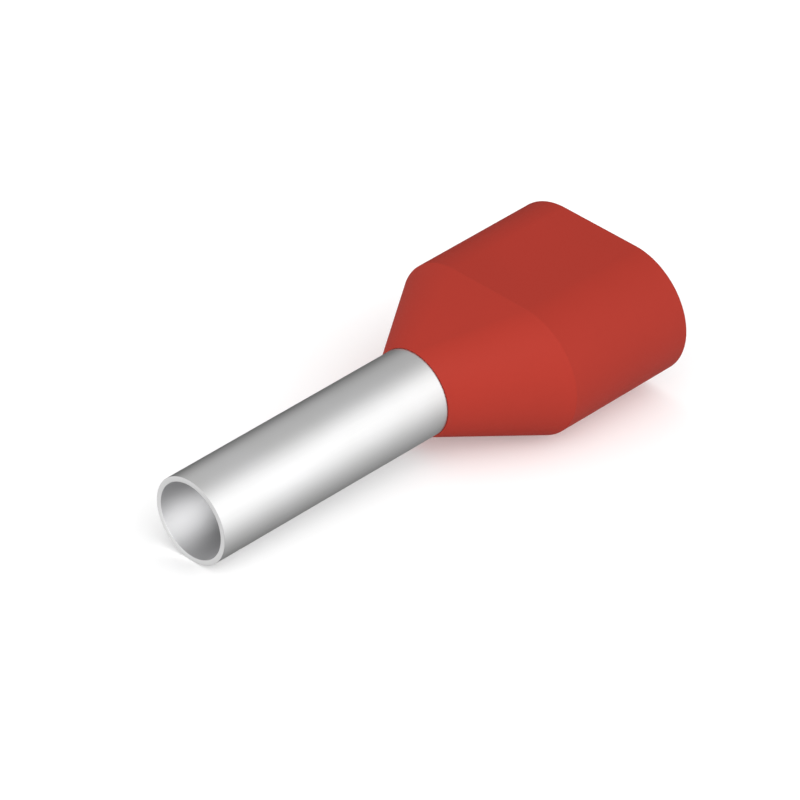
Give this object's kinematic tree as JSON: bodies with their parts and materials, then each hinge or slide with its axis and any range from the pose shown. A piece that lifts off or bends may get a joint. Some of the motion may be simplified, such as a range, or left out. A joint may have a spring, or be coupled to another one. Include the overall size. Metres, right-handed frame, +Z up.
{
  "type": "twin wire ferrule",
  "caption": "Twin-entry wire ferrule: a round plated sleeve, flared inside an oblong moulded collar that funnels a pair of stranded wires into the sleeve for crimping.",
  "frame": {"origin": "on the sleeve's axis, in the plane of the collar's front edge, where the sleeve comes out of the collar", "axes": "+X along the sleeve from its open tip towards the mouth for the wires, +Y across the collar's width, +Z up across the collar's height"},
  "size_m": [0.015, 0.0064, 0.0038],
  "materials": {
    "tin_plated_copper": "smooth drawn copper tube, bright tin plated",
    "moulded_polypropylene": "red polypropylene, moulded, fine satin surface"
  },
  "bodies": {
    "root": {"sleeve": "tin_plated_copper", "collar": "moulded_polypropylene"}
  },
  "joints": []
}
